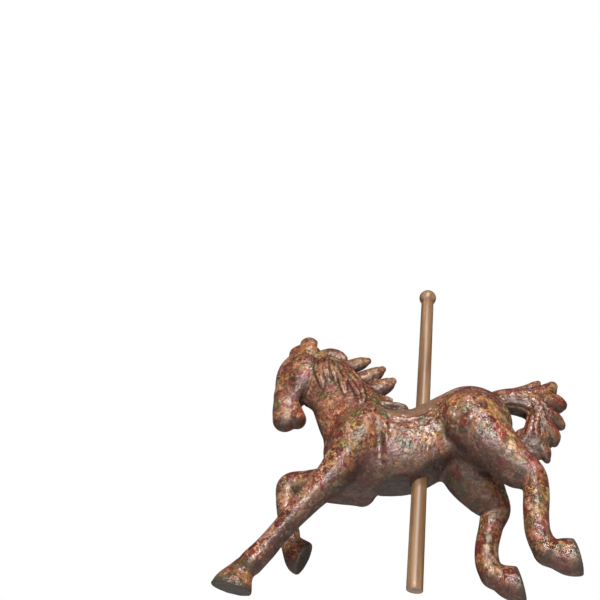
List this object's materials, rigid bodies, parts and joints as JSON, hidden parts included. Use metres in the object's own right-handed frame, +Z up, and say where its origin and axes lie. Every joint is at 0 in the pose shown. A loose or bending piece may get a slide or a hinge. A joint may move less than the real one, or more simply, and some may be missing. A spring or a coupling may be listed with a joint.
{
  "type": "carousel horse sculpture",
  "caption": "Carved carousel horse in a leaping pose, with a flying mane and curled tail, threaded on a turned wooden pole with a ball finial.",
  "frame": {"origin": "centre of the pole's flat foot", "axes": "+Z up along the pole, the horse's head towards -X and its tail towards +X, +Y across to its right side"},
  "size_m": [0.6066, 0.1933, 0.7439],
  "materials": {
    "varnished_collage": "patchwork of coloured paper scraps under a glossy brown varnish",
    "pole_wood": "light brown turned wood, satin"
  },
  "bodies": {
    "root": {"horse": "varnished_collage", "pole": "pole_wood"}
  },
  "joints": []
}
